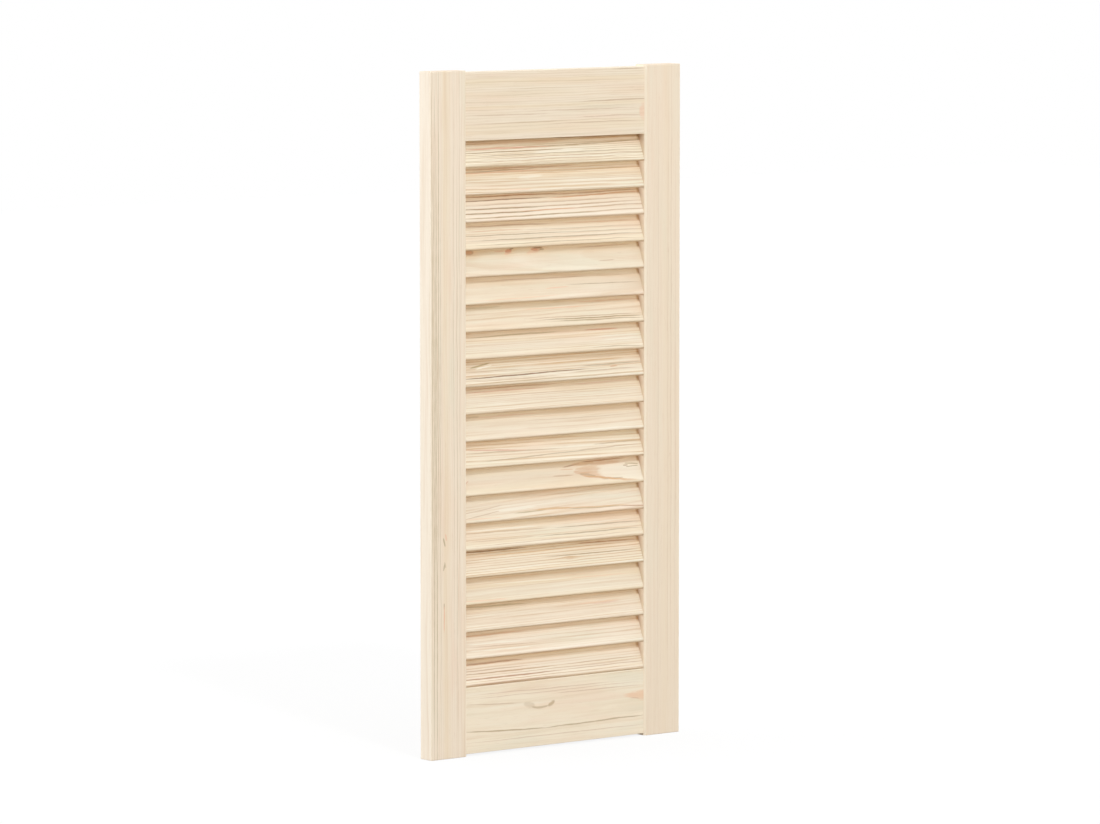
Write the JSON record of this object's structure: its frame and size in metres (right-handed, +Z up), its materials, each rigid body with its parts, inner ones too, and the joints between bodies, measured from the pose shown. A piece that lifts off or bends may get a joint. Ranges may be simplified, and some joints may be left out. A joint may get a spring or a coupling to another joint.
{
  "type": "louvered cabinet door",
  "caption": "Louvered cabinet door of raw knotty pine: stiles and rails dowelled together, with fixed slats that slope down to the front.",
  "frame": {"origin": "middle of the door's bottom edge, halfway through its thickness", "axes": "+X across the door to the right as seen from the front, +Y to the back, +Z up; the front faces -Y"},
  "size_m": [0.394, 0.022, 0.85],
  "materials": {
    "frame_pine": "raw planed pine, matt",
    "slat_pine": "raw planed pine, matt",
    "beech_dowel": "raw beech, matt"
  },
  "bodies": {
    "root": {"left_stile": "frame_pine", "right_stile": "frame_pine", "top_rail": "frame_pine", "bottom_rail": "frame_pine", "slat_01": "slat_pine", "slat_02": "slat_pine", "slat_03": "slat_pine", "slat_04": "slat_pine", "slat_05": "slat_pine", "slat_06": "slat_pine", "slat_07": "slat_pine", "slat_08": "slat_pine", "slat_09": "slat_pine", "slat_10": "slat_pine", "slat_11": "slat_pine", "slat_12": "slat_pine", "slat_13": "slat_pine", "slat_14": "slat_pine", "slat_15": "slat_pine", "slat_16": "slat_pine", "slat_17": "slat_pine", "slat_18": "slat_pine", "slat_19": "slat_pine", "slat_20": "slat_pine", "top_left_dowels": "beech_dowel", "top_right_dowels": "beech_dowel", "bottom_left_dowels": "beech_dowel", "bottom_right_dowels": "beech_dowel"}
  },
  "joints": []
}
